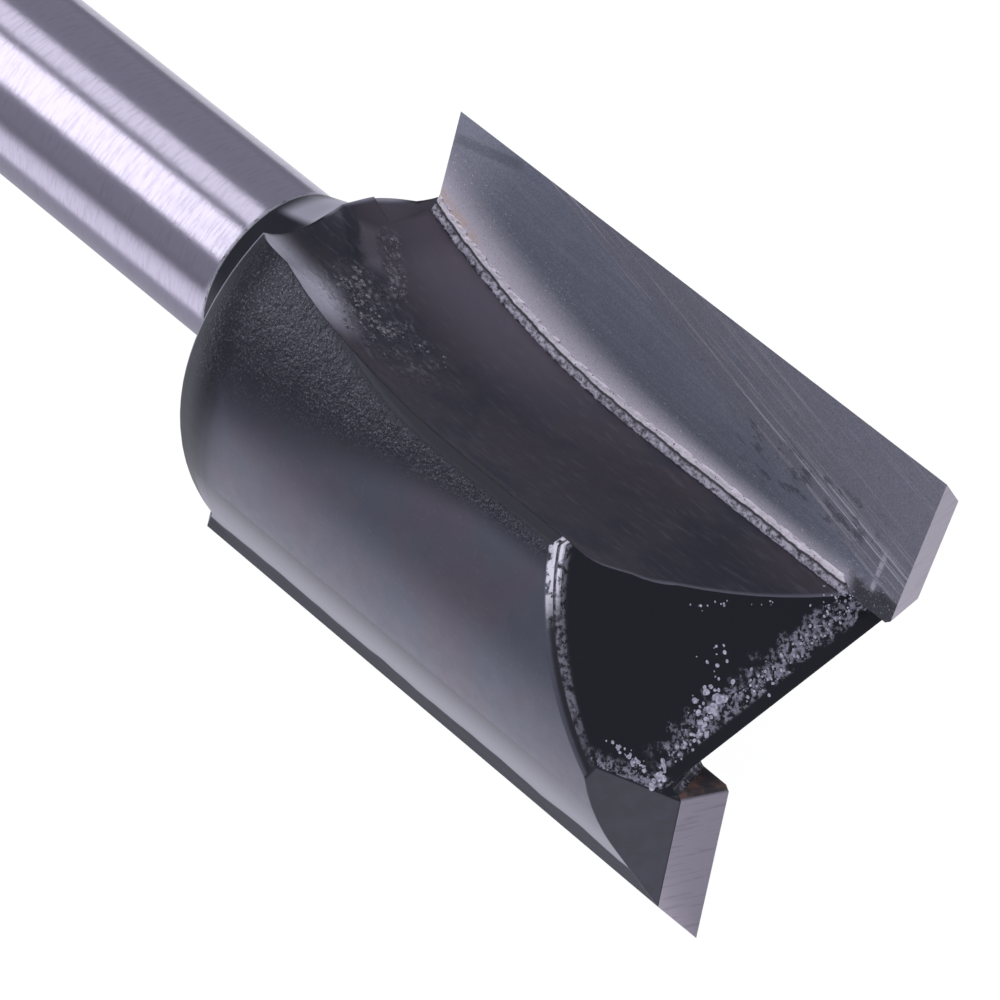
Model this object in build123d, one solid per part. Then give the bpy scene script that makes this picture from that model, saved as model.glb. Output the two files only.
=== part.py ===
from build123d import *

import os
from math import acos, asin, atan2, cos, degrees, hypot, isclose, radians, sin, tan

# Two-flute straight router bit with brazed carbide tips, in millimetres.
# The tool axis is +X, the origin is the centre of the shank's end face and +Z is up. The bit is rolled
# to where it comes to rest: one cutting edge and the heel of the other wing touch the same level plane.

os.makedirs("parts", exist_ok=True)

# shank and neck
shank_diameter = 12.0
shank_length = 50.0
shank_chamfer = 0.5
neck_length = 5.3
neck_slope = 17.0  # of the cone that leaves the shank, in degrees
neck_fillet = 3.5

# head
cutting_diameter = 32.0
cutting_length = 42.0
tip_standout = 2.0  # cutting radius over the head's radius
tip_setback = 1.5  # rear face of the head to the rear end of the tips
rim_step = 1.8  # the rear rim's radius under the head's radius
shoulder_length = 4.2

# carbide tips, with the angles in degrees
tip_width = 11.0
tip_thickness = 3.25
tip_chamfer = 0.3
rake_angle = 19.75
side_relief = 23.2
end_relief = 13.5
dish_angle = 4.5

# steel behind the tips
steel_end_relief = 34.2
land_setback = 2.65  # of the land's rear end where it meets the round of the head

# gullets, cut by a form wheel that stops in the neck
wheel_radius = 52.0
wheel_stop = 19.5  # rear end of the tips to the wheel's centre where it stops
wall_radius = 45.0
flare_height = 14.4  # over the rake face, where the wall starts to flare
land_height = 16.3  # over the rake face, where the flare ends at the heel land
land_inset = 7.33  # of the heel land's lower edge, measured inward from the cutting edge
land_slope = 19.6  # of the heel land, in degrees

# second pass that widens each gullet's rear end along the heel
pass_radius = 7.5
pass_height = 10.2  # of its centre over the rake face
pass_lift = 4.3  # of its floor at the rear face, measured outward from the tip's root
pass_slope = 5.0

# runout of the seats behind the tips
runout_depth = 1.15  # into the gullet's wall
runout_height = 4.0  # over the rake face, where it fades out

# gashes in the front end
gash_setback = 2.45  # front end of the cutting edges to the ridge on the axis
gash_slope = 42.6
gash_direction = 41.5  # seen along the axis, from the cutting edge
gash_corner = 0.5
gash_bevel = 0.6

# braze fillets along the roots of the tips
seam_width = 1.15
seam_height = 0.55
seam_hollow = 0.08

# points tried along each edge for the one that rests
heel_steps = 50

shank_radius = shank_diameter / 2
cutting_radius = cutting_diameter / 2
head_radius = cutting_radius - tip_standout
rear_face = shank_length + neck_length
tip_start = rear_face + tip_setback
tip_end = tip_start + cutting_length
wheel_x = tip_start + wheel_stop
wheel_inset = tip_width - wheel_radius
pass_inset = tip_width - pass_lift
overrun = cutting_length + cutting_diameter  # far enough for a cutter to run out past the steel

# directions in the section of the wing whose cutting edge points to +Y
forward = Vector(1, 0, 0)
inward = Vector(0, -cos(radians(rake_angle)), -sin(radians(rake_angle)))
off_rake = Vector(0, -sin(radians(rake_angle)), cos(radians(rake_angle)))


def wing_plane(x):
    """The section at x: first coordinate inward from the cutting edge, second the height over the rake."""
    return Plane(origin=(x, cutting_radius, 0), x_dir=inward, z_dir=-forward)


def wing_point(x, inset, height):
    return Vector(x, cutting_radius, 0) + inward * inset + off_rake * height


def wing_prism(points, x_from, x_to):
    """A section outline extruded between two stations."""
    outline = make_face(Polyline(*points, close=True))
    return extrude(wing_plane(x_to) * outline, x_to - x_from)


def space_ahead(point, normal):
    """A block that fills the space on the far side of a plane."""
    block = Box(overrun, overrun, overrun, align=(Align.CENTER, Align.CENTER, Align.MIN))
    return Plane(origin=point, z_dir=normal) * block


def along_wheel(section):
    """A section carried along the path of the form wheel, out through the front end."""
    pivot = Axis(wing_point(wheel_x, wheel_inset, 0), -off_rake)
    rear = revolve(wing_plane(wheel_x) * section, pivot, 90)
    front = extrude(wing_plane(wheel_x + overrun) * section, overrun)
    return rear + front


def blank():
    """Shank, neck and head as turned."""
    cone_end = (rear_face, shank_radius + neck_length * tan(radians(neck_slope)))
    rim = (rear_face, head_radius - rim_step)
    shoulder_end = (rear_face + shoulder_length, head_radius)
    shank_end = (shank_length, shank_radius)
    shank = Polyline((0, 0), (0, shank_radius - shank_chamfer), (shank_chamfer, shank_radius), shank_end)
    neck = FilletPolyline(shank_end, cone_end, rim, radius=neck_fillet)
    shoulder = TangentArc(shoulder_end, rim, tangent=(-1, 0))
    front = Polyline(shoulder_end, (tip_end, head_radius), (tip_end, 0), (0, 0))
    return revolve(make_face([shank, neck, shoulder, front]), Axis.X)


def trailing_inset():
    """How far inward the tip's relief face ends at its back."""
    return tip_thickness * tan(radians(rake_angle + side_relief))


def land():
    """The flat from the back of the tip to where it touches the round of the head."""
    corner = wing_point(0, trailing_inset(), -tip_thickness)
    turn = atan2(corner.Z, corner.Y) - acos(head_radius / corner.length)
    touch = Vector(0, head_radius * cos(turn), head_radius * sin(turn))
    from_edge = touch - Vector(0, cutting_radius, 0)
    touch_height = from_edge.dot(off_rake)
    outline = [
        (trailing_inset(), -tip_thickness),
        (from_edge.dot(inward), touch_height),
        (tip_width, touch_height),
        (tip_width, -tip_thickness),
    ]
    rise = corner - touch
    rear_normal = forward + rise * (land_setback / rise.length**2)
    rear = space_ahead(wing_point(tip_start, trailing_inset(), -tip_thickness), rear_normal)
    return wing_prism(outline, tip_start, tip_end) & rear


def gullet():
    """The space the form wheel sweeps over the rake face, up to its flare and the heel land."""
    wall = CenterArc((tip_width - wall_radius, 0), wall_radius, 0, degrees(asin(flare_height / wall_radius)))
    flare = TangentArc(wall @ 1, (land_inset, land_height), tangent=wall % 1)
    rest = Polyline(
        flare @ 1,
        (land_inset + (cutting_diameter - land_height) * tan(radians(land_slope)), cutting_diameter),
        (wheel_inset, cutting_diameter),
        (wheel_inset, 0),
        wall @ 0,
    )
    return along_wheel(make_face([wall, flare, rest]))


def runout():
    """The wheel's path behind the tips, where it goes down to the level of the seats and away from them."""
    depth = tip_width + runout_depth
    below = Polyline(
        (wheel_inset, runout_height),
        (tip_width, runout_height),
        (depth, 0),
        (depth, -tip_thickness),
        (wheel_inset, -tip_thickness),
        close=True,
    )
    behind = space_ahead((tip_start, 0, 0), -forward)
    past_slope = space_ahead(wing_point(tip_start, tip_width, 0), inward + forward * (runout_depth / tip_setback))
    return (along_wheel(make_face(below)) & behind) - past_slope


def heel_pass():
    """A straight pass of a round cutter, which runs clear of the wall where the wheel has cut deeper."""
    start = wing_point(rear_face, pass_inset - pass_radius, pass_height)
    direction = forward + inward * tan(radians(pass_slope))
    return Plane(origin=start, z_dir=direction) * Cylinder(pass_radius, overrun)


def seat():
    """The step that carries a tip."""
    outline = [(tip_width, 0), (tip_width, -tip_thickness), (-tip_width, -tip_thickness), (-tip_width, 0)]
    return wing_prism(outline, tip_start, tip_end + tip_width)


def end_face():
    """What is ground off the steel behind a tip's front end."""
    end_drop = tip_thickness * tan(radians(end_relief))
    normal = forward + inward * tan(radians(dish_angle)) - off_rake * tan(radians(steel_end_relief))
    ahead = space_ahead(wing_point(tip_end - end_drop, 0, -tip_thickness), normal)
    outline = [
        (-tip_width, -tip_thickness),
        (cutting_diameter, -tip_thickness),
        (cutting_diameter, -cutting_diameter),
        (-tip_width, -cutting_diameter),
    ]
    return ahead & wing_prism(outline, tip_start, tip_end + tip_width)


def gash():
    """The slope in front of a gullet, which leaves the inner end of the tip standing free."""
    fall = tan(radians(gash_slope))
    turn = radians(gash_direction)
    normal = Vector(1, fall * cos(turn), fall * sin(turn))
    ahead = space_ahead((tip_end - gash_setback, 0, 0), normal)
    outline = [
        (tip_width, 0),
        (tip_width, -overrun),
        (-overrun, -overrun),
        (-overrun, 0),
    ]
    cutter = ahead - wing_prism(outline, 0, tip_end + overrun)
    foot = cutter.edges().sort_by_distance(wing_point(tip_end - 2 * gash_setback, tip_width, -tip_thickness))[0]
    return fillet(foot, gash_corner)


def on_round(edge):
    """Whether an edge runs on the round of the head."""
    middle = edge @ 0.5
    return isclose(hypot(middle.Y, middle.Z), head_radius, rel_tol=0.001)


def on_both_wings(shape):
    return [shape, shape.rotate(Axis.X, 180)]


def steel_body():
    """Shank, neck and fluted head in one piece."""
    body = blank()
    body += on_both_wings(land())
    for cut in [gullet(), heel_pass(), runout(), seat(), end_face(), gash()]:
        body -= on_both_wings(cut)
    rims = body.edges().filter_by(GeomType.ELLIPSE).filter_by(on_round).sort_by(Edge.length)
    return chamfer(rims[-2:], gash_bevel)


def tip():
    """A brazed carbide tip, ground to its relief angles."""
    outline = [(0, 0), (tip_width, 0), (tip_width, -tip_thickness), (trailing_inset(), -tip_thickness)]
    blank_tip = wing_prism(outline, tip_start, tip_end)
    normal = forward + inward * tan(radians(dish_angle)) - off_rake * tan(radians(end_relief))
    ground = blank_tip - space_ahead(wing_point(tip_end, 0, 0), normal)
    inner_corner = ground.edges().sort_by_distance(wing_point(tip_end, tip_width, -tip_thickness / 2))[0]
    return chamfer(inner_corner, tip_chamfer)


def seam():
    """The braze left in the root between a tip's rake face and the gullet's wall."""
    wall = CenterArc((tip_width - wall_radius, 0), wall_radius, 0, degrees(asin(seam_height / wall_radius)))
    surface = SagittaArc(wall @ 1, (tip_width - seam_width, 0), seam_hollow)
    base = Line(surface @ 1, wall @ 0)
    run = along_wheel(make_face([wall, surface, base]))
    return (run & space_ahead((tip_start, 0, 0), forward)) - gash()


def rest_roll(steel):
    """The roll that levels the line from the second tip's edge to the heel it rests with, in degrees."""
    slopes = []
    for edge in steel.edges():
        for step in range(heel_steps + 1):
            point = edge @ (step / heel_steps)
            slopes.append(atan2(point.Z, point.Y + cutting_radius))
    return -degrees(min(slopes))


steel = steel_body()
roll = rest_roll(steel)
print(f"rolled by {roll:.2f} degrees")
nodes = {"steel_body": steel}
for letter, carbide, braze in zip("ab", on_both_wings(tip()), on_both_wings(seam())):
    nodes["carbide_tip_" + letter] = carbide
    nodes["braze_seam_" + letter] = braze
for name, shape in nodes.items():
    export_step(shape.rotate(Axis.X, roll), f"parts/{name}.step")
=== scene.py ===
import random
import bpy
from math import cos, pi, radians, sin
from mathutils import Matrix, Vector


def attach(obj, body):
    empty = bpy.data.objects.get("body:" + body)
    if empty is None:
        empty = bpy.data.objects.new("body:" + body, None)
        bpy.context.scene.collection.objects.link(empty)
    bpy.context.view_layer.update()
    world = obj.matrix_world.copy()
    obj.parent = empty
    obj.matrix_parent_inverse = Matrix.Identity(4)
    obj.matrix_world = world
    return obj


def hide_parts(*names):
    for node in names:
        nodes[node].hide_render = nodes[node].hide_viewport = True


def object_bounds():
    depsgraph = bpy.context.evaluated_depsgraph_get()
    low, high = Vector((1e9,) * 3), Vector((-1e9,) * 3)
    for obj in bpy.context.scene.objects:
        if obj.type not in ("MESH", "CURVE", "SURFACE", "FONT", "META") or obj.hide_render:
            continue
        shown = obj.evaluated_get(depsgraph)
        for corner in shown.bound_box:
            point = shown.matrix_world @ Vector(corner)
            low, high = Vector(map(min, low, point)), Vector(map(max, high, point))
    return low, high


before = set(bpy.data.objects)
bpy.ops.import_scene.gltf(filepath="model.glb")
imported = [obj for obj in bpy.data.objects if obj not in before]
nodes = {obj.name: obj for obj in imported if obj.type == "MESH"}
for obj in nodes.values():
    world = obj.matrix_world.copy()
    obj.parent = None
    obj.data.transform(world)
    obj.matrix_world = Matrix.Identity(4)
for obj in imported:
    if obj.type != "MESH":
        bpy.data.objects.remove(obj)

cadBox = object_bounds()
print("frame loaded,", len(nodes), "nodes")

# the bit's own measures, in millimetres and degrees
bit = {
    "edgeAngle": 51.69,  # of the first wing's cutting edge, seen along the axis
    "tipStart": 56.8,
    "cuttingRadius": 16.0,
    "rake": 19.75,
    "ridgeAngle": 41.5,  # of the gash's fall, from the cutting edge
    "ridgeX": 39.55,
    "gashFall": 0.9195,
    "landAngle": 35.2,
    "headRadius": 14.0,
    "shoulderX": 2.7,  # where the rounding at the head's rear end begins, and its radius
    "shoulderRadius": 5.8,
    "heelAngle": 74.4,
    "tipWidth": 11.0,
    "dish": 0.0787,  # fall of the ground ends toward the axis
    "tipEnd": (42.0, 0.24),  # where a ground end meets the rake face's level, and its fall behind it
    "steelEnd": (43.4287, 0.6796),
    "wheelRadius": 52.0,  # of the wheel that cut the gullets, and where it stopped
    "wheelStop": 19.5,
}


# small helpers for node trees

def newMaterial(name):
    material = bpy.data.materials.new(name)
    material.use_nodes = True
    material.node_tree.nodes.clear()
    return material, material.node_tree


def feed(tree, socket, value):
    if isinstance(value, bpy.types.NodeSocket):
        tree.links.new(value, socket)
    else:
        socket.default_value = value


def addNode(tree, kind, inputs=None, **settings):
    node = tree.nodes.new(kind)
    for key, value in settings.items():
        setattr(node, key, value)
    for key, value in (inputs or {}).items():
        feed(tree, node.inputs[key], value)
    return node


def calc(tree, operation, a, b=0.0, c=0.0):
    return addNode(tree, "ShaderNodeMath", {0: a, 1: b, 2: c}, operation=operation).outputs[0]


def fade(tree, value, start, end, low=0.0, high=1.0):
    # goes from low to high while the value goes from start to end, and stays level outside
    return addNode(tree, "ShaderNodeMapRange", {"Value": value, "From Min": start, "From Max": end,
                   "To Min": low, "To Max": high}, interpolation_type="SMOOTHSTEP").outputs[0]


def both(tree, *masks):
    product = masks[0]
    for mask in masks[1:]:
        product = calc(tree, "MULTIPLY", product, mask)
    return product


def either(tree, a, b):
    return calc(tree, "MAXIMUM", a, b)


def mixColor(tree, factor, a, b):
    return addNode(tree, "ShaderNodeMix", {0: factor, 6: a, 7: b}, data_type="RGBA").outputs[2]


def mixValue(tree, factor, a, b):
    return addNode(tree, "ShaderNodeMix", {0: factor, 2: a, 3: b}, data_type="FLOAT").outputs[0]


def moved(tree, place, location=(0, 0, 0), rotation=(0, 0, 0), scale=(1, 1, 1)):
    return addNode(tree, "ShaderNodeMapping", {"Vector": place, "Location": location, "Rotation": rotation,
                   "Scale": scale}).outputs[0]


def noise(tree, place, scale, detail=2.0, roughness=0.5, stretch=(1, 1, 1), shift=0.0):
    at = moved(tree, place, (shift, shift * 0.7, shift * 0.3), scale=stretch)
    return addNode(tree, "ShaderNodeTexNoise", {"Vector": at, "Scale": scale, "Detail": detail,
                   "Roughness": roughness}).outputs[0]


def inMillimetres(tree):
    place = addNode(tree, "ShaderNodeTexCoord").outputs["Object"]
    return moved(tree, place, scale=(1000, 1000, 1000))


def addGrains(tree, at, grains):
    for name, values in grains.items():
        at[name] = noise(tree, at["row"], *values)


def wander(tree, value, noise, width):
    # lets an edge stray by half the width to each side
    return calc(tree, "MULTIPLY_ADD", calc(tree, "SUBTRACT", noise, 0.5), width, value)


def area(tree, at, limits):
    # 1 where every row of limits is full: a place, where it ends and where it is full, perhaps low and high
    return both(tree, *[fade(tree, at[name], *values) if values else at[name] for name, *values in limits])


def offGround(tree, x, inset, lift, start, fall):
    # how far ahead of a ground end
    ahead = calc(tree, "MULTIPLY_ADD", inset, bit["dish"], calc(tree, "SUBTRACT", x, start))
    return calc(tree, "MULTIPLY_ADD", lift, -fall, ahead)


def findPlaces(tree):
    # the places the materials go by, in millimetres: row is where the point is, and the others are the same
    # for both wings. x runs from the tip's rear end, inset inward from the cutting edge, lift off the rake face
    row = inMillimetres(tree)
    tool = moved(tree, row, (-bit["tipStart"], 0, 0), (-radians(bit["edgeAngle"]), 0, 0))
    ridge = radians(bit["ridgeAngle"])
    across = addNode(tree, "ShaderNodeVectorMath", {0: tool, 1: (0, cos(ridge), sin(ridge))},
                     operation="DOT_PRODUCT").outputs["Value"]
    side = calc(tree, "SIGN", across)
    flip = addNode(tree, "ShaderNodeCombineXYZ", {0: 1.0, 1: side, 2: side}).outputs[0]
    folded = addNode(tree, "ShaderNodeVectorMath", {0: tool, 1: flip}, operation="MULTIPLY").outputs[0]
    back = radians(bit["rake"] + 180)
    edge = bit["cuttingRadius"]
    wing = moved(tree, folded, (0, -edge * cos(back), edge * sin(back)), (-back, 0, 0))
    x, inset, down = addNode(tree, "ShaderNodeSeparateXYZ", {0: wing}).outputs
    _, y, z = addNode(tree, "ShaderNodeSeparateXYZ", {0: folded}).outputs
    land = radians(bit["landAngle"])
    short = calc(tree, "MINIMUM", calc(tree, "SUBTRACT", x, bit["wheelStop"]), 0.0)
    reach = calc(tree, "ADD", inset, bit["wheelRadius"] - bit["tipWidth"])
    reach = calc(tree, "SQRT", calc(tree, "MULTIPLY_ADD", short, short, calc(tree, "MULTIPLY", reach, reach)))
    return {
        "fromRoot": calc(tree, "SUBTRACT", bit["wheelRadius"], reach),  # over the rake face, to the tip's root
        "row": row, "wing": wing, "x": x, "inset": inset,
        "lift": calc(tree, "MULTIPLY", down, -1.0),
        "radius": calc(tree, "SQRT", calc(tree, "MULTIPLY_ADD", y, y, calc(tree, "MULTIPLY", z, z))),
        "angle": calc(tree, "MULTIPLY", calc(tree, "ARCTAN2", z, y), 180 / pi),
        "across": calc(tree, "ABSOLUTE", across),
        "along": calc(tree, "MULTIPLY_ADD", z, cos(ridge), calc(tree, "MULTIPLY", y, -sin(ridge))),
        "onLand": calc(tree, "MULTIPLY_ADD", y, sin(land), calc(tree, "MULTIPLY", z, cos(land))),
    }


def finish(tree, at, settings):
    # roughness may go by a place, as fade takes it, and height is a sum of places times millimetres
    made = dict(settings)
    if isinstance(made.get("roughness"), tuple):
        name, *values = made["roughness"]
        made["roughness"] = fade(tree, at[name], *values)
    if "height" in made:
        total = 0.0
        for name, height in made["height"].items():
            total = calc(tree, "MULTIPLY_ADD", at[name], height, total)
        made["height"] = total
    return made


def cover(tree, look, mask, color=None, roughness=None, height=None, metallic=None):
    # puts another finish over the look where the mask is 1
    for key, value in (("roughness", roughness), ("height", height), ("metallic", metallic)):
        if value is not None:
            look[key] = mixValue(tree, mask, look[key], value)
    if color is not None:
        look["color"] = mixColor(tree, mask, look["color"], color)


def shade(tree, look, ior, softEdge):
    edges = addNode(tree, "ShaderNodeBevel", {"Radius": softEdge}, samples=4).outputs[0]
    bump = addNode(tree, "ShaderNodeBump", {"Height": look["height"], "Distance": 0.001, "Strength": 1.0,
                   "Normal": edges}).outputs[0]
    shader = addNode(tree, "ShaderNodeBsdfPrincipled", {"Base Color": look["color"], "Roughness": look["roughness"],
                     "Metallic": look["metallic"], "IOR": ior, "Normal": bump})
    addNode(tree, "ShaderNodeOutputMaterial", {"Surface": shader.outputs[0]})


# camera

cameraSettings = {
    "location": (0.2620325, -0.1639556, 0.2787347),
    "rotation": (41.67678, 1.325886, 47.908162),
    "lens": 222.69,
    "sensor": 36.0,
    "clip": (0.005, 20),
}


def addCamera(settings):
    bpy.ops.object.select_all(action="DESELECT")
    turned = [radians(angle) for angle in settings["rotation"]]
    bpy.ops.object.camera_add(location=settings["location"], rotation=turned)
    camera = bpy.context.object
    camera.name = "camera"
    camera.data.sensor_width = settings["sensor"]
    camera.data.lens = settings["lens"]
    camera.data.clip_start, camera.data.clip_end = settings["clip"]
    bpy.context.scene.camera = camera


addCamera(cameraSettings)
bpy.context.scene.view_settings.view_transform = "Standard"
print("camera set")


# floor, sky and softboxes

studio = {
    "floorSize": 3.0,
    "floorMiddle": 0.06,
    "floorGap": 0.00002,  # under the bit
    "floorColor": (0.90, 0.90, 0.91, 1),
    "cameraGlow": 1.055,
    "cameraShare": 0.93,  # the rest is lit by the lamps and keeps the shadow
    "nearGlow": (1.13, 1.11, 1.22, 1),  # what the metal sees of the floor beside it
    "farGlow": (0.25, 0.25, 0.29, 1),
    "behindGlow": (0.78, 0.77, 0.84, 1),  # on the side away from the camera
    "underGlow": (0.42, 0.42, 0.48, 1),  # and right below it, darker: a painted shadow that only reflections show
    "fadeOut": (20, 90),  # millimetres from the axis
    "behind": (12, 20),
    "underFrom": (-18, -8, -18, -12.5),  # from x, to x, where it begins at both
    "underEdge": 3.5,
    "underTo": (14, 8),
    "sky": (0.30, 0.30, 0.35, 1),
    "skyFront": (0.14, 0.14, 0.17, 1),  # ahead of the bit
    "frontDirection": (0.81, 0.37, 0.46),
    "frontEdge": (0.6, 0.85),
    "skyFill": (0.72, 0.71, 0.80, 1),  # what lights matt surfaces
    "softboxReach": 0.3,
    "softboxColor": (0.98, 0.96, 1.0),
}

softboxes = {
    # name: angle seen along the axis, half its spread, from x, to x, brightness
    "softbox_key": (125, 22, -0.34, -0.132, 1.7),
    "softbox_top": (79.5, 13, -0.40, 0.10, 0.95),
}

frontBox = {
    "middle": (0.19, -0.130, 0.275),
    "target": (0.087, -0.009, 0.011),
    "size": (0.10, 0.07),
    "brightness": 1.4,
}


def addFloor():
    bpy.ops.object.select_all(action="DESELECT")
    bpy.ops.mesh.primitive_grid_add(x_subdivisions=2, y_subdivisions=2, size=studio["floorSize"])
    floor = bpy.context.object
    floor.name = "floor"
    floor.location = (studio["floorMiddle"], 0, cadBox[0].z - studio["floorGap"])
    material, tree = newMaterial("pale_floor")
    path = addNode(tree, "ShaderNodeLightPath")
    x, y, _ = addNode(tree, "ShaderNodeSeparateXYZ", {0: inMillimetres(tree)}).outputs
    glow = mixColor(tree, fade(tree, y, *studio["behind"]), studio["nearGlow"], studio["behindGlow"])
    far = fade(tree, calc(tree, "ABSOLUTE", y), *studio["fadeOut"])
    glow = mixColor(tree, far, glow, studio["farGlow"])
    # painted shadow: the floor right below the bit glows less for glossy rays
    start = fade(tree, x, *studio["underFrom"])
    underShadow = both(tree, fade(tree, y, start, calc(tree, "ADD", start, studio["underEdge"])),
                 fade(tree, y, *studio["underTo"]))
    glow = mixColor(tree, underShadow, glow, studio["underGlow"])
    matte = addNode(tree, "ShaderNodeBsdfDiffuse", {"Color": studio["floorColor"]}).outputs[0]
    seen = addNode(tree, "ShaderNodeEmission", {"Color": (1, 1, 1, 1), "Strength": studio["cameraGlow"]}).outputs[0]
    mirrored = addNode(tree, "ShaderNodeEmission", {"Color": glow, "Strength": 1.0}).outputs[0]
    share = calc(tree, "MULTIPLY", path.outputs["Is Camera Ray"], studio["cameraShare"])
    mix = addNode(tree, "ShaderNodeMixShader", {0: share, 1: matte, 2: seen}).outputs[0]
    mix = addNode(tree, "ShaderNodeMixShader", {0: path.outputs["Is Glossy Ray"], 1: mix, 2: mirrored}).outputs[0]
    addNode(tree, "ShaderNodeOutputMaterial", {"Surface": mix})
    floor.data.materials.append(material)


def addWorld():
    world = bpy.data.worlds.new("studio")
    bpy.context.scene.world = world
    world.use_nodes = True
    tree = world.node_tree
    tree.nodes.clear()
    direction = addNode(tree, "ShaderNodeTexCoord").outputs["Generated"]
    ahead = addNode(tree, "ShaderNodeVectorMath", {0: direction, 1: studio["frontDirection"]},
                    operation="DOT_PRODUCT").outputs["Value"]
    color = mixColor(tree, fade(tree, ahead, *studio["frontEdge"]), studio["sky"], studio["skyFront"])
    path = addNode(tree, "ShaderNodeLightPath")
    color = mixColor(tree, path.outputs["Is Diffuse Ray"], color, studio["skyFill"])
    sky = addNode(tree, "ShaderNodeBackground", {"Color": color, "Strength": 1.0}).outputs[0]
    plain = addNode(tree, "ShaderNodeBackground", {"Color": (1, 1, 1, 1), "Strength": 1.0}).outputs[0]
    mix = addNode(tree, "ShaderNodeMixShader", {0: path.outputs["Is Camera Ray"], 1: sky, 2: plain}).outputs[0]
    addNode(tree, "ShaderNodeOutputWorld", {"Surface": mix})


def addLamp(name, middle, rotation, width, height, brightness):
    bpy.ops.object.select_all(action="DESELECT")
    bpy.ops.object.light_add(type="AREA", location=middle, rotation=rotation)
    lamp = bpy.context.object
    lamp.name = name
    lamp.data.shape = "RECTANGLE"
    lamp.data.size = width
    lamp.data.size_y = height
    lamp.data.energy = brightness * pi * width * height
    lamp.data.color = studio["softboxColor"]
    lamp.visible_camera = False


def addSoftbox(name, angle, spread, fromX, toX, brightness):
    # hangs along the bit, as far from its axis as the reach says
    reach = studio["softboxReach"]
    turn = radians(angle)
    height = 2 * reach * sin(radians(spread)) / cos(radians(spread))
    middle = ((fromX + toX) / 2, reach * cos(turn), reach * sin(turn))
    addLamp(name, middle, (turn - pi / 2, 0, 0), toX - fromX, height, brightness)


addFloor()
addWorld()
for name, values in softboxes.items():
    addSoftbox(name, *values)
away = Vector(frontBox["middle"]) - Vector(frontBox["target"])
addLamp("softbox_front", frontBox["middle"], away.to_track_quat("Z", "Y").to_euler(), *frontBox["size"],
        frontBox["brightness"])
print("studio set")


# steel: bright shank, dark coat on the head, glossy gashes

steelLook = {
    "shank": (0.53, 0.50, 0.60, 1),
    "shankDull": (0.42, 0.39, 0.47, 1),
    "coat": (0.116, 0.122, 0.158, 1),
    "coatBrown": (0.130, 0.120, 0.150, 1),
    "coatLight": (0.19, 0.19, 0.23, 1),
    "byHeel": (0.030, 0.033, 0.045, 1),
    "shoulder": (0.028, 0.030, 0.040, 1),
    # painted glints on the blasted speckle
    "sparks": (0.145, 0.151, 0.18, 1),
    "land": (0.036, 0.038, 0.052, 1),
    "landStreak": (0.075, 0.077, 0.098, 1),
    # rubbed strip on the round, partly a painted sheen toward the land
    "rubbed": (0.18, 0.18, 0.225, 1),
    "wall": (0.048, 0.050, 0.068, 1),
    "wallBrown": (0.070, 0.061, 0.072, 1),
    "wallLight": (0.19, 0.19, 0.23, 1),
    # painted light on the gullet walls toward the rear
    "wallRear": (0.17, 0.155, 0.185, 1),
    "neck": (0.026, 0.028, 0.038, 1),
    # painted highlight on the neck
    "neckPatch": (0.66, 0.66, 0.75, 1),
    "heelLand": (0.028, 0.028, 0.038, 1),
    # painted highlight on the scoop
    "paleBand": (0.62, 0.62, 0.70, 1),
    "spots": (0.25, 0.24, 0.27, 1),
    "smooth": (0.26, 0.24, 0.27, 1),
    "gash": (0.034, 0.035, 0.045, 1),
    "crust": (0.42, 0.41, 0.50, 1),
    "outer": (0.13, 0.13, 0.15, 1),
    # painted highlight on the edge between gullet wall and gash
    "lip": (0.21, 0.21, 0.25, 1),
    "mottled": (0.27, 0.27, 0.32, 1),
    # painted highlight on the rim of the gash
    "worn": (0.80, 0.79, 0.88, 1),
    "groundEnd": (0.040, 0.043, 0.060, 1),
    "groundDark": (0.036, 0.036, 0.048, 1),
    # painted highlight on the edges at the shank's front end and at the rear rim
    "rings": (0.55, 0.55, 0.62, 1),
    "endLines": (1.0, 2.0, 0.5, (0.3, 5.0, 0.3)),
    "insideEdge": (0.08, 0.26),
    "gashEdges": (0.1, 0.3),  # at the tip's root and at the rake face's level
    "heelReach": (-2.0, 26.0, 8.5, 2.2),  # from x, to x, how wide the speckle is at both
    "heelEdge": (0.0, 16.0, -3.4, 0.2),  # from x, to x, where the heel lies at both
    "stray": 1.6,
    "slant": (0.83, 0.56),  # direction of the rough column, along the bit and off the rake face
    "slantStart": (3.22, 4.59),
    "crustWidth": (3.6, 0.1),  # share of the noise, and what is added
    "ior": 1.8,
    "softEdge": 0.00012,
    "scoopEdge": 0.0006,  # where the cut that widens the gullet runs softly into its wall
}

steelGrains = {
    # name: scale, detail, roughness, stretch, shift
    "grain": (4.0, 3.0, 0.6),
    "fine": (9.0, 2.0, 0.6, (1, 1, 1), 31.0),
    "cloud": (0.22, 2.0, 0.5, (1, 1, 1), 7.0),
    "patch": (0.9, 3.0, 0.6, (1, 1, 1), 17.0),
    "sparks": (7.5, 2.0, 0.7, (1, 1, 1), 3.0),
    "streaks": (1.0, 3.0, 0.6, (0.06, 1.6, 1.6), 5.0),
    "wide": (0.25, 2.0),
    "wallGrain": (2.5, 3.0, 0.6, (0.25, 1, 1), 11.0),
    "spots": (2.6, 3.0, 0.7),
    "bumps": (2.2, 3.0, 0.6),
    "waves": (0.8, 2.0),
    "crumbs": (3.2, 4.0, 0.7, (1, 1, 1), 23.0),
    "gaps": (1.1, 2.0, 0.5, (1, 1, 1), 29.0),
    "tatter": (1.6, 3.0, 0.7, (1, 1, 1), 41.0),
    "rings": (1.0, 4.0, 0.75, (4.0, 0.6, 0.6), 2.0),
    "shankWaves": (0.7, 2.0, 0.5, (0.6, 1.0, 1.0), 9.0),
}

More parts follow.
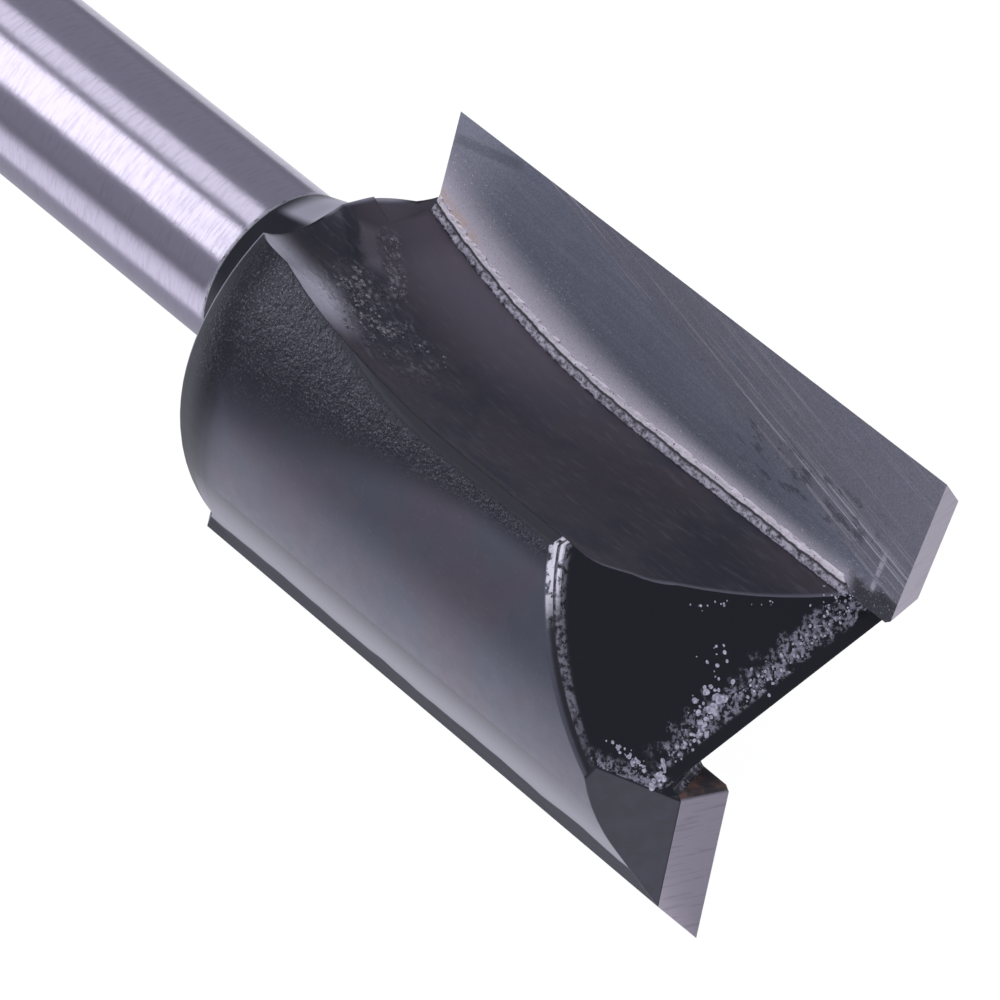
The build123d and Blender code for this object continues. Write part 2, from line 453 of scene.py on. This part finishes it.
steelFinishes = {
    # what each finish changes, as finish takes it
    "coat": {"roughness": ("patch", 0.3, 0.7, 0.31, 0.39), "height": {"fine": 0.004, "grain": 0.006},
             "metallic": 0.6},
    "byHeel": {"roughness": 0.24},
    "shoulder": {"roughness": 0.42, "metallic": 0.85},
    "sparks": {"roughness": 0.3},
    "rubbed": {"roughness": 0.37},
    "land": {"roughness": ("streaks", 0.4, 0.6, 0.75, 0.9), "height": {"streaks": 0.01}},
    "wall": {"roughness": ("patch", 0.3, 0.7, 0.33, 0.43), "height": {"wallGrain": 0.006, "fine": 0.003}},
    "neck": {"metallic": 0.85},
    "heelLand": {"roughness": 0.42},
    "paleBand": {"roughness": 0.45},
    "gash": {"roughness": 0.24, "height": {"waves": 0.012}},
    "outer": {"roughness": 0.4},
    "crust": {"roughness": 0.4},
    "mottled": {"roughness": 0.4},
    "worn": {"roughness": 0.3, "metallic": 0.7},
    "groundEnd": {"roughness": 0.36, "height": {"endLines": 0.006}},
    "neckPatch": {"roughness": 0.42},
    "shank": {"roughness": ("rings", 0.35, 0.65, 0.13, 0.2), "height": {"rings": 0.0011, "shankWaves": 0.012},
              "metallic": 1.0},
}

# what stands up from the finishes: noise and height in millimetres
steelBumps = {"grain": 0.05, "bumps": 0.16, "crumbs": 0.10}

steelAreas = {
    # rows as area takes them, in millimetres and degrees
    "coatBrown": (("cloud", 0.42, 0.62),),
    "coatLight": (("grain", 0.55, 0.85, 0.0, 0.5),),
    "alongHeel": (("heelShare", 1.3, 0.5), ("x", 44.0, 24.0)),
    "rearEnd": (("x", 5.2, 1.6),),
    "shoulder": (("x", 3.6, 1.2),),
    "speckle": (("heelShare", 1.0, 0.45), ("offHeel", 0.3, 1.1), ("x", 36.0, 26.0), ("x", -1.2, 0.0),
                ("patch", 0.34, 0.5, 0.35, 1.0)),
    "sparks": (("sparks", 0.50, 0.72),),
    "rubbed": (("onLand", -4.5, 0.8), ("radius", 13.85, 13.95), ("angle", -5.0, -12.0)),
    "land": (("ragged", 1.5, 1.9), ("radius", 13.85, 13.95), ("angle", -5.0, -12.0)),
    "landStreak": (("streaks", 0.45, 0.6),),
    "wallBrown": (("cloud", 0.36, 0.56),),
    "wallLight": (("wallGrain", 0.5, 0.8, 0.0, 0.4),),
    "wallRear": (("lift", 8.5, 3.0), ("x", 24.0, 6.0, 0.0, 0.8)),
    "neck": (("x", -1.45, -1.6),),
    "heelLand": (("inside",), ("radius", 12.7, 12.9), ("x", 8.0, 11.0), ("lift", 12.0, 14.0)),
    "paleBand": (("inside",), ("radius", 9.9, 12.0), ("x", 8.8, 4.8), ("x", -1.6, -1.2), ("lift", 9.6, 11.6),
                 ("grain", 0.2, 0.6, 0.75, 1.0)),
    "roughPatch": (("inside",), ("x", 1.0, 3.8), ("x", 14.0, 7.8), ("lift", 7.6, 9.0), ("lift", 14.6, 12.8),
                   ("patch", 0.42, 0.56)),
    "roughColumn": (("inside",), ("slant", -0.6, 0.2), ("slant", 6.2, 5.0), ("offSlant", -2.1, -1.5),
                    ("offSlant", -0.3, -0.8)),
    "spots": (("rough",), ("spots", 0.5, 0.62)),
    "smooth": (("inside",), ("slant", -0.4, 0.6), ("slant", 4.2, 2.8), ("offSlant", -0.6, -0.1),
               ("offSlant", 1.2, 0.5, 0.0, 0.6)),
    "gash": (("ahead", -0.12, -0.04), ("inside",), ("gashSide",)),
    "crustBand": (("gash",), ("gaps", 0.36, 0.50), ("across", 0.55, 0.8), ("offBand", 0.3, -0.5),
                  ("along", 10.6, 8.6), ("crumbs", 0.45, 0.56)),
    "crustFoot": (("gash",), ("offEnds", -0.9, -0.35), ("crumbs", 0.44, 0.58), ("along", 8.5, 9.5)),
    "outer": (("gash",), ("radius", 13.0, 13.6), ("crumbs", 0.40, 0.6), ("along", 13.0, 11.5)),
    "lip": (("inside",), ("ahead", -0.55, -0.14), ("ahead", -0.05, -0.1), ("radius", 13.3, 12.9)),
    "rim": (("gashSide",), ("ahead", -0.68, -0.6), ("radius", 13.2, 13.35), ("x", 28.2, 28.6)),
    "between": (("ahead", -0.36, -0.32), ("ahead", -0.20, -0.25)),
    "worn": (("rim",), ("lines",), ("x", 31.6, 30.0), ("tatter", 0.36, 0.5), ("ahead", -0.02, -0.06)),
    "mottled": (("rim",), ("ahead", -0.34, -0.26), ("crumbs", 0.4, 0.6), ("x", 37.5, 34.5)),
    "ownEnd": (("offEnd", -0.12, -0.05), ("lift", -3.1, -3.2)),
    "otherEnd": (("offOtherEnd", -0.12, -0.05), ("otherLift", -3.1, -3.2)),
    "groundDark": (("patch", 0.35, 0.65),),
    "frontRing": (("x", -6.86, -6.8), ("x", -6.5, -6.62), ("tatter", 0.3, 0.5, 0.0, 0.8)),
    "rimRing": (("x", -1.68, -1.54), ("x", -1.2, -1.34), ("radius", 11.7, 12.0, 0.0, 0.8)),
    "neckPatch": (("x", -6.6, -5.0), ("x", -1.4, -1.8), ("angle", 40.0, 33.0), ("angle", -20.0, 0.0)),
    "shank": (("x", -6.75, -6.85),),
    "shankDull": (("rings", 0.45, 0.75, 0.0, 0.6),),
    "scoop": (("inside",), ("x", 9.0, 6.0), ("lift", 5.0, 8.0)),
    "scoopRear": (("inside",), ("x", 2.2, 1.0)),
}


def findSteelPlaces(tree):
    at = findPlaces(tree)
    x, inset, lift = at["x"], at["inset"], at["lift"]
    addGrains(tree, at, steelGrains)
    at["endLines"] = noise(tree, at["wing"], *steelLook["endLines"])

    # off the heel
    arc = calc(tree, "MULTIPLY", calc(tree, "SUBTRACT", at["angle"], bit["heelAngle"]), radians(bit["headRadius"]))
    at["heelShare"] = calc(tree, "DIVIDE", arc, fade(tree, x, *steelLook["heelReach"]))
    at["offHeel"] = calc(tree, "SUBTRACT", arc, fade(tree, x, *steelLook["heelEdge"]))
    at["ragged"] = wander(tree, at["onLand"], at["wide"], steelLook["stray"])

    # the gullets are all that lies below the turned outline
    before = calc(tree, "MINIMUM", calc(tree, "SUBTRACT", x, bit["shoulderX"]), 0.0)
    outline = calc(tree, "MAXIMUM", calc(tree, "SUBTRACT", bit["shoulderRadius"] ** 2,
                   calc(tree, "MULTIPLY", before, before)), 0.0)
    outline = calc(tree, "ADD", calc(tree, "SQRT", outline), bit["headRadius"] - bit["shoulderRadius"])
    at["inside"] = fade(tree, calc(tree, "SUBTRACT", outline, at["radius"]), *steelLook["insideEdge"])

    # aslant on the gullet's wall
    run, rise = steelLook["slant"]
    slantStart, offStart = steelLook["slantStart"]
    at["slant"] = calc(tree, "MULTIPLY_ADD", x, run, calc(tree, "MULTIPLY_ADD", lift, rise, -slantStart))
    offSlant = calc(tree, "MULTIPLY_ADD", x, -rise, calc(tree, "MULTIPLY_ADD", lift, run, -offStart))
    at["offSlant"] = wander(tree, offSlant, at["patch"], steelLook["stray"])

    # on the gash
    offRidge = calc(tree, "SUBTRACT", x, bit["ridgeX"])
    at["ahead"] = calc(tree, "MULTIPLY_ADD", at["across"], bit["gashFall"], offRidge)
    rootEdge, rakeEdge = steelLook["gashEdges"]
    at["gashSide"] = either(tree, fade(tree, inset, bit["tipWidth"] - rootEdge, bit["tipWidth"]),
                            fade(tree, lift, -rakeEdge, 0.0))
    crustWidth = calc(tree, "MULTIPLY_ADD", at["patch"], *steelLook["crustWidth"])
    at["offBand"] = calc(tree, "SUBTRACT", at["across"], crustWidth)

    # the ground end, and the other wing's, whose part past the ridge is on this side
    otherInset = calc(tree, "SUBTRACT", 2 * bit["cuttingRadius"] * cos(radians(bit["rake"])), inset)
    at["otherLift"] = calc(tree, "SUBTRACT", 2 * bit["cuttingRadius"] * sin(radians(bit["rake"])), lift)
    at["offEnd"] = offGround(tree, x, inset, lift, *bit["steelEnd"])
    at["offOtherEnd"] = offGround(tree, x, otherInset, at["otherLift"], *bit["steelEnd"])
    at["offEnds"] = either(tree, at["offEnd"], at["offOtherEnd"])
    return at


def steelMaterial():
    material, tree = newMaterial("body_steel")
    at = findSteelPlaces(tree)

    def on(name):
        return area(tree, at, steelAreas[name])

    def blend(name, over):
        color = steelLook[name]
        for upper in over:
            color = mixColor(tree, on(upper), color, steelLook[upper])
        return color

    def lay(name, mask=None, over=()):
        # the finish goes where its own area is, unless a mask is given
        cover(tree, look, on(name) if mask is None else mask, color=blend(name, over),
              **finish(tree, at, steelFinishes.get(name, {})))

    def roughen(mask, name):
        look["height"] = calc(tree, "MULTIPLY_ADD", both(tree, mask, at[name]), steelBumps[name], look["height"])

    # dark coat on the round of the head
    look = {"color": blend("coat", ("coatBrown", "coatLight")), **finish(tree, at, steelFinishes["coat"])}

    # blasted speckle behind the heel, wide at the rear end and narrow at the front, with lighter specks in it as
    # painted glints
    speckle = on("speckle")
    lay("byHeel", either(tree, on("alongHeel"), on("rearEnd")))
    lay("shoulder")
    lay("sparks", both(tree, speckle, on("sparks")))
    roughen(speckle, "grain")

    # land behind the tip, with a ragged edge and streaks along the bit, and the rubbed strip beside it, whose
    # lighter run toward the land is partly a painted sheen
    lay("rubbed")
    lay("land", over=("landStreak",))

    # walls of the gullets, with painted light making them lighter toward the rear, and the neck behind them
    lay("wall", at["inside"], ("wallBrown", "wallLight", "wallRear"))
    lay("neck")

    # dark heel land, a painted highlight as a pale band on the scoop below it, the rough spots beside that and a
    # smooth lighter patch
    lay("heelLand")
    lay("paleBand")
    at["rough"] = either(tree, on("roughPatch"), on("roughColumn"))
    lay("spots")
    roughen(at["rough"], "bumps")
    lay("smooth")

    # gashes: glossy, with a pale crust along the ridge and at the foot, and a grey one at the rim
    at["gash"] = on("gash")
    lay("gash", at["gash"])
    crust, outer = either(tree, on("crustBand"), on("crustFoot")), on("outer")
    lay("outer", outer)
    lay("crust", crust)
    roughen(either(tree, crust, outer), "crumbs")
    # painted highlight: a soft lighter line along the edge between the wall and the gash
    lay("lip")

    # the rim of the gash has a painted highlight in two thin bright lines
    at["rim"] = on("rim")
    at["lines"] = calc(tree, "SUBTRACT", 1.0, on("between"))
    lay("mottled")
    lay("worn")

    # ground end behind each tip
    lay("groundEnd", either(tree, on("ownEnd"), on("otherEnd")), ("groundDark",))

    # painted highlights: thin pale rings on the edges at the front end of the shank and at the rear rim, and a
    # light patch on the neck
    lay("rings", either(tree, on("frontRing"), on("rimRing")))
    lay("neckPatch")

    # shank: ground round, so its marks run around it
    lay("shank", over=("shankDull",))

    scoop = either(tree, on("scoop"), on("scoopRear"))
    shade(tree, look, steelLook["ior"], mixValue(tree, scoop, steelLook["softEdge"], steelLook["scoopEdge"]))
    return material


# carbide: ground faces

carbideLook = {
    "slate": (0.24, 0.265, 0.33, 1),
    "slateLight": (0.29, 0.31, 0.38, 1),
    "grey": (0.265, 0.262, 0.312, 1),
    # painted sheen at the rake face's rear end and along its root
    "rear": (0.40, 0.39, 0.46, 1),
    "glow": (0.88, 0.83, 0.92, 1),
    "line": (0.66, 0.65, 0.72, 1),
    "copper": (0.85, 0.62, 0.45, 1),
    "dark": (0.11, 0.115, 0.145, 1),
    "notch": (0.06, 0.06, 0.075, 1),
    "scratch": (0.62, 0.60, 0.68, 1),
    "speck": (0.6, 0.6, 0.68, 1),
    # painted highlight
    "glint": (0.95, 0.94, 1.0, 1),
    "end": (0.42, 0.385, 0.44, 1),
    "endLine": (0.28, 0.26, 0.30, 1),
    "flank": (0.16, 0.16, 0.20, 1),
    "inner": (0.03, 0.026, 0.028, 1),
    "innerBrown": (0.12, 0.065, 0.05, 1),
    "grindTurn": 15.6,  # degrees from the cutting edge
    "grindStart": 8.0,
    "stray": 1.6,
    # where the painted sheen along the root begins, and how wide it is
    "glowStart": 0.8,
    "glowWidth": (3.0, 30.0, 3.9, 1.5),  # from x, to x, its width off the root at both
    "stainSlope": 0.24,
    "scratchSlope": 0.07,
    "rakeMetallic": (0.45, 0.05),  # ground, and under the painted sheen
    "ior": 1.7,
    "softEdge": 0.00005,
}

carbideFinishes = {
    "flank": {"roughness": 0.42, "height": {"flankLines": 0.004}, "metallic": 0.4},
    "rake": {"roughness": ("patch", 0.3, 0.7, 0.52, 0.62),
             "height": {"fine": 0.004, "rub": 0.004, "frontLines": 0.012}},
    "end": {"roughness": 0.38, "height": {"ruled": 0.006}, "metallic": 0.75},
    "inner": {"roughness": 0.45, "metallic": 0.1},
}

carbideGrains = {
    # name: scale, detail, roughness, stretch, shift
    "fine": (9.0, 2.0, 0.6),
    "patch": (0.8, 3.0, 0.6, (1, 1, 1), 4.0),
    "glints": (7.0, 2.0, 0.6, (1, 1, 1), 13.0),
}

carbideMarks = {
    # name: share of the grinding's turn, then as above
    "flankLines": (0.0, 1.0, 3.0, 0.6, (0.1, 6.0, 6.0), 3.0),
    "lines": (1.0, 1.0, 4.0, 0.75, (0.05, 5.5, 1.0), 8.0),
    "rub": (0.3, 1.0, 3.0, 0.7, (0.12, 4.0, 1.0), 2.0),
    "smears": (1.0, 1.0, 3.0, 0.7, (0.6, 1.5, 1.0)),
    "ruled": (0.0, 1.0, 3.0, 0.7, (1.0, 3.4, 0.12), 6.0),
}

carbideAreas = {
    # rows as area takes them, in millimetres
    "flankGrey": (("flankLines", 0.4, 0.65),),
    "rake": (("lift", -0.05, -0.02),),
    "slateLight": (("rub", 0.42, 0.7),),
    "inFront": (("ground", -0.9, 0.8),),
    "lightLines": (("lines", 0.53, 0.66), ("ground", 4.2, 0.6, 0.30, 1.0)),
    "slateLines": (("lines", 0.48, 0.34),),
    "rear": (("x", 6.5, 1.0, 0.0, 0.55),),
    "rearTint": (("x", 6.5, 1.0, 0.0, 0.385),),
    "glow": (("offRoot", 1.0, -0.1), ("x", 41.0, 24.0, 0.45, 1.0)),
    "copper": (("x", 4.6, 3.0), ("fromRoot", 1.9, 1.2), ("patch", 0.35, 0.5, 0.0, 0.5)),
    "stain": (("x", -0.2, 0.8), ("x", 6.2, 5.2), ("stainLine", 1.4, 1.65), ("stainLine", 2.4, 2.15, 0.0, 0.45)),
    "smears": (("x", 25.0, 28.0), ("x", 39.5, 38.0), ("inset", 4.2, 5.4), ("inset", 8.8, 7.4),
               ("smears", 0.52, 0.62, 0.0, 0.75)),
    "notch": (("x", 37.0, 38.2), ("notchLine", 9.7, 10.6)),
    "scratch": (("scratchLine", 39.66, 39.82), ("scratchLine", 40.14, 39.98), ("inset", 6.4, 7.6),
                ("inset", 10.2, 9.4), ("rub", 0.36, 0.5)),
    "specks": (("fine", 0.5, 0.75, 0.0, 0.25),),
    "pits": (("fine", 0.5, 0.25, 0.0, 0.4),),
    "glints": (("glints", 0.64, 0.74), ("offRoot", 2.0, 0.4)),
    "end": (("offEnd", -0.06, -0.02), ("lift", -0.01, -0.03)),
    "endLines": (("ruled", 0.5, 0.68, 0.0, 0.6),),
    "inner": (("inset", 10.6, 10.75), ("lift", -0.02, -0.05), ("offEnd", -0.04, -0.1)),
    "innerBrown": (("patch", 0.4, 0.65),),
}

# what lies over the ground rake face, one after another: area and color; the rear tint and the glow are painted
# sheen, the glints painted highlights
rakeLayers = [
    ("rearTint", "rear"), ("glow", "glow"), ("copper", "copper"), ("stain", "dark"), ("smears", "dark"),
    ("notch", "notch"), ("scratch", "scratch"), ("specks", "speck"), ("pits", "dark"), ("glints", "glint"),
]


def findCarbidePlaces(tree):
    at = findPlaces(tree)
    x, inset = at["x"], at["inset"]
    addGrains(tree, at, carbideGrains)
    turn = radians(carbideLook["grindTurn"])
    for name, (share, *values) in carbideMarks.items():
        at[name] = noise(tree, moved(tree, at["wing"], rotation=(0, 0, -turn * share)), *values)
    ground = calc(tree, "MULTIPLY", calc(tree, "SUBTRACT", x, carbideLook["grindStart"]), sin(turn) / cos(turn))
    at["ground"] = wander(tree, calc(tree, "SUBTRACT", ground, inset), at["patch"], carbideLook["stray"])
    at["offRoot"] = calc(tree, "DIVIDE", calc(tree, "SUBTRACT", at["fromRoot"], carbideLook["glowStart"]),
                         fade(tree, x, *carbideLook["glowWidth"]))
    at["stainLine"] = calc(tree, "MULTIPLY_ADD", x, carbideLook["stainSlope"], inset)
    at["notchLine"] = calc(tree, "MULTIPLY_ADD", at["patch"], carbideLook["stray"], inset)
    at["scratchLine"] = calc(tree, "MULTIPLY_ADD", inset, carbideLook["scratchSlope"], x)
    at["offEnd"] = offGround(tree, x, inset, at["lift"], *bit["tipEnd"])
    return at


def carbideMaterial():
    material, tree = newMaterial("carbide")
    at = findCarbidePlaces(tree)

    def on(name):
        return area(tree, at, carbideAreas[name])

    def blend(color, *layers):
        for name, upper in layers:
            color = mixColor(tree, on(name), color, carbideLook[upper])
        return color

    # flanks behind the edges
    flank = blend(carbideLook["flank"], ("flankGrey", "grey"))
    look = {"color": flank, **finish(tree, at, carbideFinishes["flank"])}

    # rake face: slate, lighter in front of a slanting line, with a painted sheen along the rear of the root and at
    # the rear end
    inFront = on("inFront")
    at["frontLines"] = both(tree, inFront, at["lines"])
    slate = blend(carbideLook["slate"], ("slateLight", "slateLight"))
    grey = blend(carbideLook["grey"], ("lightLines", "line"), ("slateLines", "slate"))
    face = blend(mixColor(tree, inFront, slate, grey), *rakeLayers)
    # less metallic under the painted sheen, so that it shows in diffuse light
    metallic = mixValue(tree, either(tree, on("glow"), on("rear")), *carbideLook["rakeMetallic"])
    cover(tree, look, on("rake"), color=face, metallic=metallic, **finish(tree, at, carbideFinishes["rake"]))

    # end faces, ground straight across
    end = blend(carbideLook["end"], ("endLines", "endLine"))
    cover(tree, look, on("end"), color=end, **finish(tree, at, carbideFinishes["end"]))

    # inner ends, which the gashes leave free
    inner = blend(carbideLook["inner"], ("innerBrown", "innerBrown"))
    cover(tree, look, on("inner"), color=inner, **finish(tree, at, carbideFinishes["inner"]))
    shade(tree, look, carbideLook["ior"], carbideLook["softEdge"])
    return material


# braze: speckled bead, dark beside it and a painted highlight as a thin bright line where it ends on the tip

brazeLook = {
    "pale": (0.60, 0.58, 0.68, 1),
    "dark": (0.055, 0.055, 0.068, 1),
    # painted highlight where the braze ends on the tip
    "line": (0.88, 0.83, 0.90, 1),
    "stray": 0.16,
    "ior": 1.7,
    "softEdge": 0.00003,
}

brazeFinish = {"roughness": ("crumbs", 0.3, 0.7, 0.3, 0.45), "height": {"crumbs": 0.10, "fine": 0.02},
               "metallic": 0.3}

brazeGrains = {
    "crumbs": (3.0, 4.0, 0.75),
    "fine": (7.0, 2.0, 0.6, (1, 1, 1), 5.0),
    "wide": (0.6, 2.0),
}

brazeAreas = {
    "pale": (("offRoot", 0.50, 0.38), ("crumbs", 0.34, 0.64)),
    # the line is a painted highlight
    "line": (("offRoot", 0.55, 0.63), ("fine", 0.26, 0.4)),
}


def brazeMaterial():
    material, tree = newMaterial("braze")
    at = findPlaces(tree)
    addGrains(tree, at, brazeGrains)
    at["offRoot"] = wander(tree, at["fromRoot"], at["wide"], brazeLook["stray"])
    color = brazeLook["dark"]
    for name in ("pale", "line"):
        color = mixColor(tree, area(tree, at, brazeAreas[name]), color, brazeLook[name])
    look = {"color": color, **finish(tree, at, brazeFinish)}
    shade(tree, look, brazeLook["ior"], brazeLook["softEdge"])
    return material


# lumps left on the steel

lumpLook = {
    # name: color, lighter spots, roughness
    "spatter": ((0.10, 0.095, 0.11, 1), (0.30, 0.29, 0.32, 1), ("crumbs", 0.3, 0.7, 0.34, 0.44)),
    "crust": ((0.40, 0.39, 0.48, 1), (0.80, 0.78, 0.90, 1), ("crumbs", 0.3, 0.7, 0.36, 0.46)),
}

lumpFinish = {
    "grain": (5.0, 3.0, 0.7),
    "spots": (0.4, 0.65),
    "height": 0.03,
    "metallic": 0.4,
    "ior": 1.7,
    "softEdge": 0.00002,
}


def lumpMaterial(name):
    material, tree = newMaterial(name)
    base, light, roughness = lumpLook[name]
    crumbs = noise(tree, inMillimetres(tree), *lumpFinish["grain"])
    settings = {"roughness": roughness, "height": {"crumbs": lumpFinish["height"]},
                "metallic": lumpFinish["metallic"]}
    look = {"color": mixColor(tree, fade(tree, crumbs, *lumpFinish["spots"]), base, light),
            **finish(tree, {"crumbs": crumbs}, settings)}
    shade(tree, look, lumpFinish["ior"], lumpFinish["softEdge"])
    return material


steel = steelMaterial()
carbide = carbideMaterial()
braze = brazeMaterial()
spatterMaterial = lumpMaterial("spatter")
crustMaterial = lumpMaterial("crust")
for name, node in nodes.items():
    node.data.materials.clear()
    kind = carbide if name.startswith("carbide") else braze if name.startswith("braze") else steel
    node.data.materials.append(kind)
print("materials set")


# the braze stands as an uneven bead, so its two runs are made again from the CAD ones

beadShape = {
    "weld": 0.000001,
    "voxel": 0.00010,
    "lumps": ((0.0008, 0.00014), (0.00032, 0.00010)),  # size and height of the unevenness
}


def makeBead(nodeName, name):
    bead = bpy.data.objects.new(name, nodes[nodeName].data.copy())
    bpy.context.collection.objects.link(bead)
    bpy.ops.object.select_all(action="DESELECT")
    bpy.context.view_layer.objects.active = bead
    bead.select_set(True)
    bpy.ops.object.mode_set(mode="EDIT")
    bpy.ops.mesh.select_all(action="SELECT")
    bpy.ops.mesh.remove_doubles(threshold=beadShape["weld"])
    bpy.ops.object.mode_set(mode="OBJECT")
    remesh = bead.modifiers.new("remesh", "REMESH")
    remesh.mode = "VOXEL"
    remesh.voxel_size = beadShape["voxel"]
    bpy.ops.object.modifier_apply(modifier="remesh")
    for size, height in beadShape["lumps"]:
        texture = bpy.data.textures.new("lumps", "CLOUDS")
        texture.noise_scale = size
        texture.noise_depth = 2
        uneven = bead.modifiers.new("uneven", "DISPLACE")
        uneven.texture = texture
        uneven.strength = height
        uneven.mid_level = 0.5
        bpy.ops.object.modifier_apply(modifier="uneven")
    bpy.ops.object.shade_smooth()
    bead.data.materials.clear()
    bead.data.materials.append(braze)
    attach(bead, "root")
    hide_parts(nodeName)
    return bead


beads = {"braze_bead_a": "braze_seam_a", "braze_bead_b": "braze_seam_b"}
for name, nodeName in beads.items():
    print(name, len(makeBead(nodeName, name).data.polygons), "faces")


# spatter in the gullets and crust on the gashes: one lump, copied onto the steel

lumpShape = {"roundness": 2, "stretch": (1.0, 0.8, 0.5), "uneven": 0.10, "seed": 5}

scatterLook = {
    "spreadShare": 0.5,
    "smallness": 2.2,  # the higher, the more small lumps there are for each large one
    "seeds": {"a": 11, "b": 12},
}

# each run of spatter: from and to as (along, inset, lift) in millimetres, spread, how many, sizes
spatterRuns = [
    ((3.0, 7.7, 9.6), (7.4, 7.9, 13.6), 1.2, 62, (0.10, 0.48)),
    ((3.8, 7.6, 10.8), (7.6, 8.5, 11.2), 0.9, 34, (0.12, 0.46)),
    ((6.6, 8.5, 10.2), (13.2, 10.0, 8.0), 0.5, 14, (0.12, 0.34)),
    ((0.5, 8.4, 4.5), (5.4, 8.8, 8.0), 0.5, 40, (0.10, 0.30)),
]

# each run of crust: from and to as (off the ridge, along it), spread across, how many, sizes
crustRuns = [
    ((1.9, -7.0), (1.6, -4.2), 0.9, 60, (0.08, 0.24)),
    ((1.3, -4.5), (1.2, 3.2), 0.45, 90, (0.08, 0.26)),
    ((2.1, 3.6), (1.4, 6.2), 0.8, 60, (0.10, 0.60)),
    ((1.1, 6.0), (0.9, 8.6), 0.4, 34, (0.10, 0.34)),
    ((0.8, 9.3), (0.5, 10.6), 0.3, 24, (0.14, 0.60)),
    ((1.0, 10.4), (3.2, 11.6), 0.3, 46, (0.08, 0.34)),
    ((6.0, 3.0), (3.4, -2.6), 0.25, 16, (0.08, 0.22)),
    ((3.6, 4.4), (3.0, 2.0), 0.5, 9, (0.10, 0.30)),
]


def makeLump():
    bpy.ops.object.select_all(action="DESELECT")
    bpy.ops.mesh.primitive_ico_sphere_add(subdivisions=lumpShape["roundness"], radius=0.5)
    lump = bpy.context.object
    bpy.ops.object.mode_set(mode="EDIT")
    bpy.ops.mesh.select_all(action="SELECT")
    bpy.ops.transform.vertex_random(offset=lumpShape["uneven"], seed=lumpShape["seed"])
    bpy.ops.transform.resize(value=lumpShape["stretch"])
    bpy.ops.object.mode_set(mode="OBJECT")
    bpy.ops.object.shade_smooth()
    return lump


def wingPoint(along, inset, lift, turn):
    # from the places the runs are given by to the row, in metres
    rake = radians(bit["rake"])
    y = bit["cuttingRadius"] - inset * cos(rake) - lift * sin(rake)
    z = lift * cos(rake) - inset * sin(rake)
    return Matrix.Rotation(radians(turn), 4, "X") @ Vector((bit["tipStart"] + along, y, z)) / 1000


def gashPoint(across, along, turn):
    ridge = radians(bit["ridgeAngle"])
    y = across * cos(ridge) - along * sin(ridge)
    z = across * sin(ridge) + along * cos(ridge)
    x = bit["tipStart"] + bit["ridgeX"] - bit["gashFall"] * across
    return Matrix.Rotation(radians(turn), 4, "X") @ Vector((x, y, z)) / 1000


def scatter(lump, name, runs, findPoint, turn, material, seed):
    draw = random.Random(seed)
    bpy.ops.object.select_all(action="DESELECT")
    parts = []
    for start, end, spread, count, sizes in runs:
        stray = spread * scatterLook["spreadShare"]
        for _ in range(count):
            share = draw.random()
            near = [a + (b - a) * share + draw.gauss(0, stray) for a, b in zip(start, end)]
            size = (sizes[0] + (sizes[1] - sizes[0]) * draw.random() ** scatterLook["smallness"]) / 1000
            spin = draw.random() * 2 * pi
            _, place, normal, _ = nodes["steel_body"].closest_point_on_mesh(findPoint(*near, turn))
            mesh = lump.data.copy()
            lean = normal.to_track_quat("Z", "Y").to_matrix().to_4x4() @ Matrix.Rotation(spin, 4, "Z")
            mesh.transform(Matrix.Translation(place) @ lean @ Matrix.Scale(size, 4))
            part = bpy.data.objects.new(name, mesh)
            bpy.context.collection.objects.link(part)
            part.select_set(True)
            parts.append(part)
    bpy.context.view_layer.objects.active = parts[0]
    bpy.ops.object.join()
    piece = bpy.context.object
    piece.name = name
    piece.data.materials.clear()
    piece.data.materials.append(material)
    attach(piece, "root")
    return piece


lump = makeLump()
for wing, turn in (("a", bit["edgeAngle"]), ("b", bit["edgeAngle"] + 180)):
    seed = scatterLook["seeds"][wing]
    for name, runs, findPoint, material in (("spatter_", spatterRuns, wingPoint, spatterMaterial),
                                            ("crust_", crustRuns, gashPoint, crustMaterial)):
        piece = scatter(lump, name + wing, runs, findPoint, turn, material, seed)
        print(piece.name, len(piece.data.polygons), "faces")
bpy.data.objects.remove(lump)
